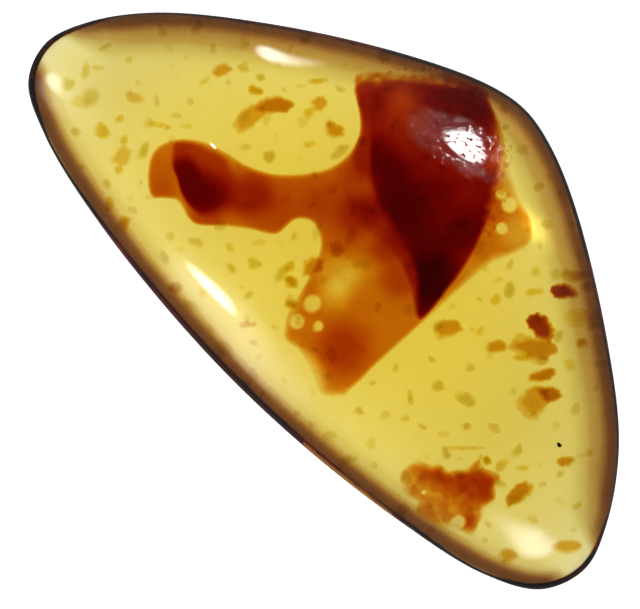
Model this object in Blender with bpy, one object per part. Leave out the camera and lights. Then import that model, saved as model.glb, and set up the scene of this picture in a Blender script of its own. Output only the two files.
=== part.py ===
"""Polished amber: a flat, rounded, three-sided pebble of clear yellow amber with dark resin sealed in it.

+X runs along the stone's longest side, +Z is up, and the origin is under the middle of its box.
The stone lies on a small flat that was ground on its back. It is parted level with its rim, so that
what is sealed in it lies in open pockets: each inclusion grew on the seam between two resin flows,
with its flat side on the seam and its body above or below it. Lengths are in millimetres.
"""

import math

import bmesh
import bpy
import numpy as np
from mathutils import Vector
from mathutils.geometry import delaunay_2d_cdt

MM = 0.001

# The stone.
LENGTH = 42.0
WIDTH = 22.2
DOME_HEIGHT = 4.6  # the front's rise above the rim
BACK_DEPTH = 3.0  # from the rim down to the flat that the stone lies on
BACK_FULL_DEPTH = 3.2  # what the back's curve would reach if it weren't ground flat
FLAT_BLEND = 0.1  # half the depth over which the back's curve turns into the flat
EDGE_ROUND = 1.2  # each face's part of the rounded edge
EDGE_REACH = 0.15  # how far the rounding reaches, as a share of the swell
FULLNESS = 0.8  # the swell's power: under 1 is fuller than a soap film
GAP = 0.3  # between the stone's halves, and round each inclusion
WALL_SHARE = 0.6  # no pocket takes more than this share of the stone above or below it
RIM = BACK_DEPTH  # the height of the rim above the ground

OUTLINE = (
    (21.0, -4.7), (20.1, -2.1), (17.4, 1.6), (12.6, 5.4), (6.4, 9.2), (3.0, 10.65), (0.6, 11.1),
    (-1.7, 10.7), (-6.0, 8.75), (-12.5, 4.7), (-17.8, 0.4), (-20.2, -2.8), (-21.0, -5.2),
    (-20.2, -7.4), (-17.4, -8.9), (-11.9, -10.2), (-3.0, -11.1), (4.5, -11.0), (12.0, -10.1),
    (17.2, -8.9), (20.1, -7.2),
)  # fmt: skip
OUTLINE_STEPS = 4  # points that the smooth outline has for each point above
RIM_ANGLES = (18, 38, 62, 90)  # where the rings lie round the edge's quarter turn, in degrees
INNER_RINGS = 7
HARMONICS = 16
PEAK = (0.4, -0.8)  # where the stone is thickest

# What is sealed in the stone.
MASS_OUTLINE = (
    (-7.2, 5.3), (-6.3, 6.5), (-5.2, 7.5), (-4.0, 8.6), (-2.8, 9.4), (-1.7, 9.7), (-0.7, 9.4), (0.5, 8.6),
    (1.7, 7.5), (2.5, 6.3), (3.1, 5.3), (3.6, 4.1), (4.1, 2.7), (4.4, 0.9), (4.5, -1.4), (2.8, -0.5),
    (1.3, 0.0), (-0.3, 0.0), (-1.6, -0.1), (-2.9, 0.3), (-3.7, 1.0), (-4.3, 2.0), (-4.8, 3.2),
    (-5.5, 3.9), (-6.4, 4.5),
)  # fmt: skip
FLOW_OUTLINE = (
    (-12.2, -5.0), (-11.8, -3.8), (-10.6, -2.8), (-9.4, -2.4), (-7.8, -2.0), (-6.5, -1.3), (-5.3, -0.1),
    (-4.6, 1.1), (-4.5, 2.2), (-4.9, 3.3), (-5.8, 4.1), (-6.8, 4.8), (-6.2, 6.0), (-4.8, 7.3),
    (-3.2, 8.6), (-1.6, 9.5), (-0.3, 9.3), (1.2, 8.4), (2.6, 7.4), (3.9, 6.8), (4.9, 6.5), (5.7, 5.7),
    (5.6, 4.7), (5.1, 3.5), (4.9, 2.2), (4.8, 0.2), (4.7, -2.0), (4.6, -4.4), (4.5, -6.8), (3.7, -7.6),
    (2.4, -7.1), (1.0, -6.8), (0.1, -6.9), (-0.7, -6.0), (-1.1, -4.6), (-1.6, -3.1), (-2.2, -2.1),
    (-3.3, -1.7), (-4.0, -2.2), (-4.2, -3.4), (-5.4, -4.2), (-6.5, -5.0), (-7.9, -6.1), (-9.4, -5.9),
    (-10.0, -6.3), (-10.5, -6.7), (-11.5, -6.1),
)  # fmt: skip
CRUMB_OUTLINE = (
    (9.7, -7.4), (10.1, -6.5), (12.0, -5.3), (12.2, -4.4), (14.1, -4.3), (14.5, -6.0), (15.0, -7.1),
    (13.7, -8.4), (12.6, -8.7), (11.2, -8.5), (10.1, -8.2),
)  # fmt: skip

# Swellings of an inclusion: x, y, radius and height of each round heap on it.
MASS_SWELLS = ((-2.2, 6.2, 4.5, 0.7), (1.0, 3.8, 4.2, 1.3), (3.0, 0.4, 2.6, 0.6))
FLOW_SWELLS = (
    (-10.1, -4.4, 1.9, 1.1), (-7.5, -4.2, 2.4, 1.1), (-5.5, -2.4, 2.6, 0.5), (-3.2, -0.6, 2.6, 0.4),
    (-1.0, 0.6, 2.8, 0.4), (2.6, -3.2, 3.2, 0.3), (-4.0, 4.6, 2.6, 0.4), (1.5, 5.5, 4.0, 0.3),
)  # fmt: skip
MASS_THICKNESS = 1.2
FLOW_THICKNESS = 0.4
CRUMB_THICKNESS = 0.55
CRUMB_LUMP = 0.18  # how far the crumbs' grains rise and sink
CRUMB_PITCH = 0.95  # from one grain to the next
FLAKE_THICKNESS = 0.35

# Each flake: x, y, length, width, the angle of its length from +X, and +1 above the seam or -1 below.
FLAKES = (
    (8.9, 5.0, 1.6, 1.05, 40, 1), (9.4, 2.75, 2.1, 1.2, 5, 1), (9.9, 1.7, 2.9, 1.2, 30, -1),
    (11.3, 1.0, 1.6, 0.8, 57, 1), (12.3, 0.6, 1.4, 1.0, 40, 1), (12.0, -0.3, 2.1, 1.6, 85, -1),
    (8.4, 0.4, 1.3, 0.9, 45, 1), (5.9, -0.7, 1.5, 1.2, 70, 1), (15.1, -4.2, 2.1, 1.0, 88, 1),
    (17.2, -6.9, 1.0, 1.0, 0, -1), (19.0, -4.5, 1.5, 0.9, 50, -1), (15.6, -1.3, 1.2, 0.65, 58, 1),
    (-12.6, 0.4, 1.2, 0.8, 45, -1), (-9.2, 1.1, 2.0, 1.1, 45, 1), (-9.7, -0.3, 2.0, 1.2, 92, -1),
    (-7.5, 2.8, 1.1, 0.9, 30, 1), (-5.9, 2.4, 1.2, 1.0, 10, 1), (-15.0, -3.8, 1.2, 0.7, 40, 1),
    (-13.3, -6.4, 1.3, 1.2, 0, -1), (-1.6, -3.3, 1.4, 1.2, 60, 1),
)  # fmt: skip
FLAKE_POINTS = 9


def smooth_loop(points, steps):
    """A closed curve through the points, with `steps` points for each of them (centripetal Catmull-Rom)."""
    points = np.array(points, float)
    before, after, beyond = (np.roll(points, shift, axis=0) for shift in (1, -1, -2))
    spans = [np.linalg.norm(b - a, axis=1)[:, None] ** 0.5
             for a, b in ((before, points), (points, after), (after, beyond))]
    start = after - points + spans[1] * (
        (points - before) / spans[0] - (after - before) / (spans[0] + spans[1]))
    end = after - points + spans[1] * (
        (beyond - after) / spans[2] - (beyond - points) / (spans[1] + spans[2]))
    loop = []
    for t in np.arange(steps) / steps:
        loop.append((2 * t**3 - 3 * t**2 + 1) * points + (t**3 - 2 * t**2 + t) * start
                    + (3 * t**2 - 2 * t**3) * after + (t**3 - t**2) * end)
    return np.stack(loop, axis=1).reshape(-1, 2)


def stone_outline(steps=OUTLINE_STEPS):
    loop = smooth_loop(OUTLINE, steps)
    low, high = loop.min(axis=0), loop.max(axis=0)
    return (loop - (low + high) / 2) * (LENGTH, WIDTH) / (high - low)


class Swell:
    """How far a soap film held by the outline would bulge: 0 on the outline and 1 where it is highest."""

    def __init__(self):
        x, y = stone_outline(3 * OUTLINE_STEPS).T
        self.weights = np.linalg.lstsq(self.terms(x, y), (x**2 + y**2) / 4, rcond=None)[0]
        self.peak = self.bulge(*map(np.float64, PEAK))

    @staticmethod
    def terms(x, y):
        """The harmonic functions 1, Re z^k and Im z^k, which a film's shape is a sum of."""
        z = (x + 1j * y) / (LENGTH / 2)
        powers = [z**k for k in range(1, HARMONICS + 1)]
        return np.stack([np.ones_like(x), *(p.real for p in powers), *(p.imag for p in powers)], axis=-1)

    def bulge(self, x, y):
        return self.terms(x, y) @ self.weights - (x**2 + y**2) / 4

    def __call__(self, x, y):
        return np.clip(self.bulge(np.asarray(x, float), np.asarray(y, float)) / self.peak, 0, 1)


SWELL = Swell()


def face_height(swell, side):
    """How far the stone's front (side 1) or back (side -1) is from the rim's level."""
    turn = np.clip(swell / EDGE_REACH, 0, 1)
    edge = EDGE_ROUND * np.sqrt(1 - (1 - turn) ** 2)
    full = swell**FULLNESS
    if side > 0:
        return edge + (DOME_HEIGHT - EDGE_ROUND) * full
    depth = edge + (BACK_FULL_DEPTH - EDGE_ROUND) * full
    blend = np.clip((depth - BACK_DEPTH + FLAT_BLEND) / (2 * FLAT_BLEND), 0, 1)
    return np.minimum(depth, BACK_DEPTH - FLAT_BLEND) + 2 * FLAT_BLEND * (blend - blend**2 / 2)


def material(name, color, roughness, transmission=0.0):
    made = bpy.data.materials.new(name)
    made.use_nodes = True
    shader = made.node_tree.nodes["Principled BSDF"]
    shader.inputs["Base Color"].default_value = (*color, 1.0)
    shader.inputs["Roughness"].default_value = roughness
    shader.inputs["Metallic"].default_value = 0.0
    shader.inputs["IOR"].default_value = 1.54
    shader.inputs["Transmission Weight"].default_value = transmission
    return made


def add_object(name, mesh_builder, look):
    """A named object in the scene from a bmesh in millimetres, which this frees."""
    bmesh.ops.recalc_face_normals(mesh_builder, faces=mesh_builder.faces)
    bmesh.ops.scale(mesh_builder, vec=(MM, MM, MM), verts=mesh_builder.verts)
    mesh = bpy.data.meshes.new(name)
    mesh_builder.to_mesh(mesh)
    mesh_builder.free()
    if look:
        mesh.materials.append(look)
    mesh.shade_smooth()
    mesh.set_sharp_from_angle(angle=math.radians(40))
    made = bpy.data.objects.new(name, mesh)
    bpy.context.scene.collection.objects.link(made)
    return made


def ring_levels():
    """The swell at each ring of the stone's faces, from just inside the rim to near the top."""
    edge = [EDGE_REACH * (1 - math.cos(math.radians(angle))) for angle in RIM_ANGLES]
    radii = np.linspace(math.sqrt(1 - EDGE_REACH), 0, INNER_RINGS + 1)[1:-1]
    return [*edge, *(1 - radii**2)]


def stone_half(name, side, look):
    """One half of the stone: flat on the seam, with the front (side 1) or the back (side -1) beyond it."""
    outline = stone_outline()
    peak = np.array(PEAK)
    reach = np.linspace(1, 0, 200)
    along = peak + reach[:, None, None] * (outline - peak)
    swells = SWELL.bulge(along[..., 0], along[..., 1]) / SWELL.peak
    swells = np.maximum.accumulate((swells - swells[0]) / (1 - swells[0]), axis=0)
    half = bmesh.new()
    seam = RIM + side * GAP / 2
    rings = [[half.verts.new((x, y, seam)) for x, y in outline]]
    half.faces.new(rings[0])
    for level in ring_levels():
        height = RIM + side * float(face_height(level, side))
        shares = [np.interp(level, swells[:, i], reach) for i in range(len(outline))]
        places = peak + np.array(shares)[:, None] * (outline - peak)
        rings.append([half.verts.new((x, y, height)) for x, y in places])
    for outer, inner in zip(rings, rings[1:]):
        for i in range(len(outline)):
            j = (i + 1) % len(outline)
            half.faces.new((outer[i], outer[j], inner[j], inner[i]))
    top = half.verts.new((*peak, RIM + side * float(face_height(1.0, side))))
    for i in range(len(outline)):
        half.faces.new((rings[-1][i], rings[-1][(i + 1) % len(outline)], top))
    return add_object(name, half, look)


def grown(loop, by):
    """The loop moved outwards by a distance, measured square to it."""
    tangent = np.roll(loop, -1, axis=0) - np.roll(loop, 1, axis=0)
    outward = np.stack([tangent[:, 1], -tangent[:, 0]], axis=1)
    x, y = loop.T
    if np.sum(x * np.roll(y, -1) - y * np.roll(x, -1)) < 0:
        outward = -outward
    return loop + by * outward / np.linalg.norm(outward, axis=1)[:, None]


def inside(loop, x, y):
    """Whether a point is inside the loop."""
    x1, y1 = loop.T
    x2, y2 = np.roll(loop, -1, axis=0).T
    crosses = (y1 > y) != (y2 > y)
    with np.errstate(divide="ignore", invalid="ignore"):
        left = x < (x2 - x1) * (y - y1) / (y2 - y1) + x1
    return np.count_nonzero(crosses & left) % 2 == 1


def inner_points(loop, pitch):
    """Points on a triangular grid that lie inside the loop and not near its edge."""
    core = grown(loop, -0.45 * pitch)
    low, high = loop.min(axis=0), loop.max(axis=0)
    points = []
    for row, y in enumerate(np.arange(low[1], high[1], pitch * math.sqrt(3) / 2)):
        for x in np.arange(low[0] + (row % 2) * pitch / 2, high[0], pitch):
            clear = np.hypot(loop[:, 0] - x, loop[:, 1] - y).min() > 0.5 * pitch
            if clear and inside(core, x, y):
                points.append((x, y))
    return points


def heap(thickness, swells):
    """A height for each point: a base thickness with round swellings on it."""

    def height(x, y):
        total = thickness
        for cx, cy, radius, rise in swells:
            total += rise * max(0.0, 1 - ((x - cx) ** 2 + (y - cy) ** 2) / radius**2) ** 2
        return total

    return height


def crumbly(x, y):
    """The height of the crumbs, which stand close together like grains."""
    turn = 2 * math.pi / CRUMB_PITCH
    lump = math.cos(turn * x + 0.9 * math.sin(1.7 * y)) * math.cos(turn * y + 1.1 * math.sin(1.3 * x))
    return CRUMB_THICKNESS + CRUMB_LUMP * lump


def inclusion(name, loop, side, height, pitch, look, extra=0.0):
    """A solid whose flat side is on the seam and whose other side is height(x, y) away from it.

    With `extra` it is the cutter of its pocket: larger by that much all round, and through the seam.
    """
    loop = grown(loop, extra) if extra else loop
    points = [Vector(p) for p in [*loop, *inner_points(loop, pitch)]]
    flat, _, faces, *_ = delaunay_2d_cdt(points, [], [list(range(len(loop)))], 1, 1e-5)
    seam = RIM + side * (GAP / 2 - extra / 2)
    solid = bmesh.new()
    verts = []
    for x, y in flat:
        room = WALL_SHARE * float(face_height(SWELL(x, y), side)) - GAP
        far = GAP / 2 + min(height(x, y), room) + extra
        verts.append(solid.verts.new((x, y, RIM + side * far)))
    skin = [solid.faces.new([verts[i] for i in face]) for face in faces]
    base = bmesh.ops.extrude_face_region(solid, geom=skin, use_keep_orig=True)["geom"]
    for vert in (v for v in base if isinstance(v, bmesh.types.BMVert)):
        vert.co.z = seam
    bmesh.ops.dissolve_faces(solid, faces=[f for f in base if isinstance(f, bmesh.types.BMFace)])
    made = add_object(name, solid, look)
    if extra:
        made.hide_render = True
        made.display_type = "WIRE"
    return made


def flake_outline(x, y, length, width, degrees, number):
    """An uneven rounded chip; its number sets how uneven."""
    turn = math.radians(degrees)
    points = []
    for i in range(FLAKE_POINTS):
        angle = 2 * math.pi * i / FLAKE_POINTS
        uneven = 1 + 0.1 * math.sin(2 * angle + 1.9 * number) + 0.07 * math.cos(3 * angle + number)
        u, v = uneven * length / 2 * math.cos(angle), uneven * width / 2 * math.sin(angle)
        points.append((x + u * math.cos(turn) - v * math.sin(turn), y + u * math.sin(turn) + v * math.cos(turn)))
    return np.array(points)


def seal_in(halves, name, loop, side, height, pitch, look):
    """Adds an inclusion, and cuts its pocket in the half of the stone that it lies in."""
    inclusion(name, loop, side, height, pitch, look)
    cutter = inclusion(f"{name}_pocket", loop, side, height, pitch, None, extra=GAP)
    cut = halves[side].modifiers.new(f"pocket of {name}", "BOOLEAN")
    cut.operation = "DIFFERENCE"
    cut.solver = "EXACT"
    cut.object = cutter


def main():
    for old in list(bpy.data.objects):
        bpy.data.objects.remove(old, do_unlink=True)
    amber = material("amber", (0.86, 0.62, 0.10), 0.04, transmission=1.0)
    dark = material("dark_resin", (0.16, 0.012, 0.004), 0.35)
    orange = material("orange_resin", (0.46, 0.09, 0.004), 0.25)
    crumbs = material("crumbs", (0.50, 0.12, 0.006), 0.6)
    chips = material("flakes", (0.45, 0.14, 0.008), 0.4)
    halves = {
        1: stone_half("amber_front", 1, amber),
        -1: stone_half("amber_back", -1, amber),
    }
    mass = smooth_loop(MASS_OUTLINE, 2)
    seal_in(halves, "dark_mass", mass, 1, heap(MASS_THICKNESS, MASS_SWELLS), 1.6, dark)
    flow = smooth_loop(FLOW_OUTLINE, 2)
    seal_in(halves, "resin_flow", flow, -1, heap(FLOW_THICKNESS, FLOW_SWELLS), 1.5, orange)
    patch = smooth_loop(CRUMB_OUTLINE, 2)
    seal_in(halves, "crumb_patch", patch, 1, crumbly, CRUMB_PITCH / 2, crumbs)
    for number, (x, y, length, width, degrees, side) in enumerate(FLAKES, start=1):
        chip = flake_outline(x, y, length, width, degrees, number)
        seal_in(halves, f"flake_{number:02d}", chip, side, heap(FLAKE_THICKNESS, ()), length, chips)


main()
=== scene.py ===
"""The looks of a piece of polished amber: one clear stone with dark resin, crumbs and flakes sealed in it.

Lengths are in millimetres until an object is made. The clear stone and what is sealed in it are volumes:
light that crosses them loses its blue and green, so a thin film looks orange and a thick mass dark red.
"""

import math

import bmesh
import bpy
import numpy as np
from mathutils import Matrix, Vector
from mathutils.geometry import delaunay_2d_cdt

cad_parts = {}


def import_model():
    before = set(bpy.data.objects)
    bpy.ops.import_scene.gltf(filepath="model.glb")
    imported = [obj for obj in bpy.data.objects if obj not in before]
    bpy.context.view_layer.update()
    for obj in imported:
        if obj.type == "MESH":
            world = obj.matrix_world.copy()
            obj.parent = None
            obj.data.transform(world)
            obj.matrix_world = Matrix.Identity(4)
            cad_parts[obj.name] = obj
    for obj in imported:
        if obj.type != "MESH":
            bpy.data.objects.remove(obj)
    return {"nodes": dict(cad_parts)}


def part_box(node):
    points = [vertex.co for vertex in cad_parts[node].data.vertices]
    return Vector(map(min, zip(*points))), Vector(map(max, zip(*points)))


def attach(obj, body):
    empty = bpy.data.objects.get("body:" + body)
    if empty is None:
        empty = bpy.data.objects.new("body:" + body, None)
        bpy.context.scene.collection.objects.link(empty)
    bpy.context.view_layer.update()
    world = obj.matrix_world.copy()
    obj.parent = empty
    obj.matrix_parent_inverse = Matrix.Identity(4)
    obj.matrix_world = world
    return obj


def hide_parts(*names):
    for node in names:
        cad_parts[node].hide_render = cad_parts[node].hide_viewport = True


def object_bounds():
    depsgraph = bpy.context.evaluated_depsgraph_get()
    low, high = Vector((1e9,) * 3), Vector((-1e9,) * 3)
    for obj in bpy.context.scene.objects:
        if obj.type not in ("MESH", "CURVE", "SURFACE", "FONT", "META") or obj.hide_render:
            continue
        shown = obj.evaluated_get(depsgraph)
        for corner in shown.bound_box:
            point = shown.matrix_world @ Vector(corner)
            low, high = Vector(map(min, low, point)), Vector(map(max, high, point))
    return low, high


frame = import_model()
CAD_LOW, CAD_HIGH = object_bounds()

MM = 0.001
BODY = "root"

# The stone's sizes, from the frame. Its halves are parted at the seam, level with its rim.
LENGTH = (CAD_HIGH - CAD_LOW).x / MM
SEAM_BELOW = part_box("amber_back")[1].z / MM
SEAM_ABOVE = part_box("amber_front")[0].z / MM
RIM = (SEAM_BELOW + SEAM_ABOVE) / 2
DOME_HEIGHT = CAD_HIGH.z / MM - RIM
BACK_DEPTH = RIM - CAD_LOW.z / MM

# Its form.
BACK_FULL_DEPTH = BACK_DEPTH + 0.2  # what the back's curve would reach if it weren't ground flat
FLAT_BLEND = 0.1  # half the depth over which the back's curve turns into the flat
EDGE_ROUND = 1.2  # each face's part of the rounded edge
EDGE_REACH = 0.15  # how far the rounding reaches, as a share of the swell
FULLNESS = 0.8  # the swell's power: under 1 is fuller than a soap film
PEAK = np.array((0.4, -0.8))  # where the stone is thickest
HARMONICS = 16  # how many powers the soap film's shape is a sum of
OUTLINE_STEPS = 16  # points that the clear stone has for each point of its outline
RAY_STEPS = 800  # places on each line from the outline to the peak where the swell is worked out
EDGE_RINGS = 16  # rings of points round the rounded edge
INNER_RINGS = 46  # and from there to the peak

# The slow waves that polishing by hand leaves: radians for each millimetre of x and of y, and the start.
POLISH_WAVES = ((0.9, 0.4, 0.0), (0.5, -1.1, 1.0), (0.35, 1.3, 2.0))
WAVE_HEIGHT = 0.02

# The outlines, each as the points that a smooth curve goes through.
OUTLINE = (
    (21.0, -4.7), (20.1, -2.1), (17.4, 1.6), (12.6, 5.4), (6.4, 9.2), (3.0, 10.65), (0.6, 11.1),
    (-1.7, 10.7), (-6.0, 8.75), (-12.5, 4.7), (-17.8, 0.4), (-20.2, -2.8), (-21.0, -5.2), (-20.2, -7.4),
    (-17.4, -8.9), (-11.9, -10.2), (-3.0, -11.1), (4.5, -11.0), (12.0, -10.1), (17.2, -8.9), (20.1, -7.2),
)
MASS_OUTLINE = (
    (-7.2, 5.3), (-6.3, 6.5), (-5.2, 7.5), (-4.0, 8.6), (-2.8, 9.4), (-1.7, 9.7), (-0.7, 9.4), (0.5, 8.6),
    (1.7, 7.5), (2.5, 6.3), (3.1, 5.3), (3.6, 4.1), (4.1, 2.7), (4.4, 0.9), (4.5, -1.4), (2.8, -0.5),
    (1.3, 0.0), (-0.3, 0.0), (-1.6, -0.1), (-2.9, 0.3), (-3.7, 1.0), (-4.3, 2.0), (-4.8, 3.2),
    (-5.5, 3.9), (-6.4, 4.5),
)
FLOW_OUTLINE = (
    (-12.2, -5.0), (-11.8, -3.8), (-10.6, -2.8), (-9.4, -2.4), (-7.8, -2.0), (-6.5, -1.3), (-5.3, -0.1),
    (-4.6, 1.1), (-4.5, 2.2), (-4.9, 3.3), (-5.8, 4.1), (-6.8, 4.8), (-6.2, 6.0), (-4.8, 7.3),
    (-3.2, 8.6), (-1.6, 9.5), (-0.3, 9.3), (1.2, 8.4), (2.6, 7.4), (3.9, 6.8), (4.9, 6.5), (5.7, 5.7),
    (5.6, 4.7), (5.1, 3.5), (4.9, 2.2), (4.8, 0.2), (4.7, -2.0), (4.6, -4.4), (4.5, -6.8), (3.7, -7.6),
    (2.4, -7.1), (1.0, -6.8), (0.1, -6.9), (-0.7, -6.0), (-1.1, -4.6), (-1.6, -3.1), (-2.2, -2.1),
    (-3.3, -1.7), (-4.0, -2.2), (-4.2, -3.4), (-5.4, -4.2), (-6.5, -5.0), (-7.9, -6.1), (-9.4, -5.9),
    (-10.0, -6.3), (-10.5, -6.7), (-11.5, -6.1),
)
CRUMB_OUTLINE = (
    (9.7, -7.4), (10.1, -6.5), (12.0, -5.3), (12.2, -4.4), (14.1, -4.3), (14.5, -6.0), (15.0, -7.1),
    (13.7, -8.4), (12.6, -8.7), (11.2, -8.5), (10.1, -8.2),
)

# The painted rim shade, a brown band that darkens the stone round its rim, at the tips, on the +Y and the
# -Y side:
# how brown its dark part is, how far in it reaches, how steeply it ends, how strong the soft part past it
# is, and how far that reaches.
RIM_SHADE_TIPS = (0.9, 0.36, 3.7, 0.0, 1.0)
RIM_SHADE_FAR = (1.0, 0.97, 4.0, 0.48, 2.1)
RIM_SHADE_NEAR = (0.92, 1.05, 5.0, 0.25, 1.6)
RIM_SHADE_SOFT_POWER = 3  # how steeply the soft part ends
RIM_SHADE_BACK = 0.5  # how far it reaches on the back, as a share of that
RIM_SHADE_LIP = 0.27  # how far in from the rim the -Y side has no painted shade, because it is dark there without it
LIP_POWER = 4
TIP_END, SIDE_START = 3 / 13, 8 / 13  # how much an edge faces Y where a tip's painted shade ends and a side's starts

# The worn patch on the front: x, y, half its length and width, and its turn from +X in degrees.
WORN_SPOT = (-0.4, 6.8, 3.4, 1.3)
WORN_TURN = 14.0
WORN_POWER = 4  # how steeply it ends


# --- the stone's form ---


def smooth_loop(points, steps):
    """A closed curve through the points, with `steps` points for each of them (centripetal Catmull-Rom)."""
    points = np.array(points, float)
    before, after, beyond = (np.roll(points, shift, axis=0) for shift in (1, -1, -2))
    spans = [np.linalg.norm(b - a, axis=1)[:, None] ** 0.5
             for a, b in ((before, points), (points, after), (after, beyond))]
    start = after - points + spans[1] * (
        (points - before) / spans[0] - (after - before) / (spans[0] + spans[1]))
    end = after - points + spans[1] * (
        (beyond - after) / spans[2] - (beyond - points) / (spans[1] + spans[2]))
    loop = []
    for t in np.arange(steps) / steps:
        loop.append((2 * t**3 - 3 * t**2 + 1) * points + (t**3 - 2 * t**2 + t) * start
                    + (3 * t**2 - 2 * t**3) * after + (t**3 - t**2) * end)
    return np.stack(loop, axis=1).reshape(-1, 2)


def fitted(loop, low, high):
    """The loop, stretched to fill the box from low to high."""
    least, most = loop.min(axis=0), loop.max(axis=0)
    return low + (loop - least) * (high - low) / (most - least)


def stone_outline(steps):
    """The stone's outline, with `steps` points for each point of OUTLINE."""
    low, high = (np.array(corner[:2]) / MM for corner in (CAD_LOW, CAD_HIGH))
    return fitted(smooth_loop(OUTLINE, steps), low, high)


class Swell:
    """How far a soap film held by the outline would bulge: 0 on the outline and 1 where it is highest."""

    def __init__(self):
        x, y = stone_outline(12).T
        self.weights = np.linalg.lstsq(self.terms(x, y), (x**2 + y**2) / 4, rcond=None)[0]
        self.peak = self.bulge(*PEAK)

    @staticmethod
    def terms(x, y):
        """The harmonic functions 1, Re z^k and Im z^k, which a film's shape is a sum of."""
        z = (x + 1j * y) / (LENGTH / 2)
        powers = [z**k for k in range(1, HARMONICS + 1)]
        return np.stack([np.ones_like(x), *(p.real for p in powers), *(p.imag for p in powers)], axis=-1)

    def bulge(self, x, y):
        """The film's height over the flat outline, in square millimetres."""
        return self.terms(x, y) @ self.weights - (x**2 + y**2) / 4

    def __call__(self, x, y):
        return np.clip(self.bulge(np.asarray(x, float), np.asarray(y, float)) / self.peak, 0, 1)


SWELL = Swell()


def face_height(swell, side):
    """How far the stone's front (side 1) or back (side -1) is from the rim's level."""
    turn = np.clip(swell / EDGE_REACH, 0, 1)
    edge = EDGE_ROUND * np.sqrt(1 - (1 - turn) ** 2)
    full = swell**FULLNESS
    if side > 0:
        return edge + (DOME_HEIGHT - EDGE_ROUND) * full
    depth = edge + (BACK_FULL_DEPTH - EDGE_ROUND) * full
    blend = np.clip((depth - BACK_DEPTH + FLAT_BLEND) / (2 * FLAT_BLEND), 0, 1)
    return np.minimum(depth, BACK_DEPTH - FLAT_BLEND) + 2 * FLAT_BLEND * (blend - blend**2 / 2)


def room(points, side):
    """How much stone there is between the seam and the surface, above (side 1) or below it (side -1)."""
    return face_height(SWELL(*points.T), side)


def room_at(x, y, side):
    return float(face_height(SWELL(x, y), side))


# --- shapes in the plane ---


def smoothstep(value):
    value = np.clip(value, 0, 1)
    return value * value * (3 - 2 * value)


def fade(value, start, end):
    """0 up to the start and 1 past the end, with a smooth rise between them."""
    return smoothstep((value - start) / (end - start))


def turned(degrees):
    """The unit vectors along a direction that is some degrees from +X, and across it."""
    cos, sin = math.cos(math.radians(degrees)), math.sin(math.radians(degrees))
    return np.array([[cos, sin], [-sin, cos]])


def oval_share(places, spot, degrees, power=2):
    """1 in the middle of an oval, with a fall to 0 round its edge that is steeper for a greater power."""
    shares = (places - spot[:2]) @ turned(degrees).T / spot[2:]
    return np.exp(-(shares**power).sum(axis=1))


def inside(loop, points):
    """Which of the points are inside the loop."""
    x, y = points.T[:, :, None]
    (x1, y1), (x2, y2) = loop.T, np.roll(loop, -1, axis=0).T
    with np.errstate(divide="ignore", invalid="ignore"):
        left = x < (x2 - x1) * (y - y1) / (y2 - y1) + x1
    return np.count_nonzero(((y1 > y) != (y2 > y)) & left, axis=1) % 2 == 1


def edge_distance(loop, points):
    """How far each point is from the loop."""
    start, run = loop, np.roll(loop, -1, axis=0) - loop
    offset = points[:, None] - start
    share = np.clip((offset * run).sum(-1) / (run**2).sum(-1), 0, 1)
    return np.linalg.norm(offset - share[..., None] * run, axis=-1).min(axis=1)


def grid_in(loop, pitch, margin):
    """Points on a triangular grid inside the loop, none of them within the margin of its edge."""
    low, high = loop.min(axis=0), loop.max(axis=0)
    rows = np.arange(low[1], high[1], pitch * math.sqrt(3) / 2)
    points = np.array([(x + (r % 2) * pitch / 2, y)
                       for r, y in enumerate(rows) for x in np.arange(low[0], high[0], pitch)])
    points = points[inside(loop, points)]
    return points[edge_distance(loop, points) > margin]


# --- meshes ---


def add_object(name, data):
    """A new object in the scene."""
    made = bpy.data.objects.new(name, data)
    bpy.context.scene.collection.objects.link(made)
    return made


def add_mesh(name, verts, faces, look):
    """A mesh object, from points in millimetres."""
    mesh = bpy.data.meshes.new(name)
    mesh.from_pydata([tuple(v) for v in np.asarray(verts) * MM], [], faces)
    mesh.materials.append(look)
    return add_object(name, mesh)


def add_piece(name, verts, faces, look, replaces=(), slot=None):
    """A smooth mesh object that rides on the stone's body."""
    made = add_mesh(name, verts, faces, look)
    shaped = bmesh.new()
    shaped.from_mesh(made.data)
    bmesh.ops.recalc_face_normals(shaped, faces=shaped.faces)
    shaped.to_mesh(made.data)
    shaped.free()
    made.data.shade_smooth()
    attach(made, BODY)
    if replaces:
        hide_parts(*replaces)
    return made


def attribute(piece, name, values):
    """Gives each of the piece's points a number that its material can read."""
    made = piece.data.attributes.new(name, "FLOAT", "POINT")
    made.data.foreach_set("value", np.asarray(values, np.float32))


def polish_waves(x, y):
    """How much higher the polished front is at a place."""
    return WAVE_HEIGHT * sum(np.sin(a * x + b * y + start) for a, b, start in POLISH_WAVES)


def facing(loop):
    """How much each point of a loop faces +Y, from -1 to 1."""
    run = np.roll(loop, -1, axis=0) - np.roll(loop, 1, axis=0)
    return -run[:, 0] / np.linalg.norm(run, axis=1)


def rim_shade_profile(depth, strength, reach, power, soft, soft_reach):
    """How strong the painted rim shade is at some depths inside the rim: a dark part with a soft part over
    it.
    """
    dark = strength * np.exp(-((depth / reach) ** power))
    pale = soft * np.exp(-((depth / soft_reach) ** RIM_SHADE_SOFT_POWER))
    return 1 - (1 - dark) * (1 - pale)


def painted_rim_shade(outline, depth, side):
    """How strong the painted shade round the stone's rim is, 0 to 1, at a depth inside each point of the
    outline.
    """
    bare = np.exp(-((depth / RIM_SHADE_LIP) ** LIP_POWER))
    if side < 0:
        depth = depth / RIM_SHADE_BACK
    tips = rim_shade_profile(depth, *RIM_SHADE_TIPS)
    far = rim_shade_profile(depth, *RIM_SHADE_FAR)
    near = rim_shade_profile(depth, *RIM_SHADE_NEAR) * (1 - bare)
    faced = facing(outline)
    return tips + (np.where(faced > 0, far, near) - tips) * fade(abs(faced), TIP_END, SIDE_START)


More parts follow.
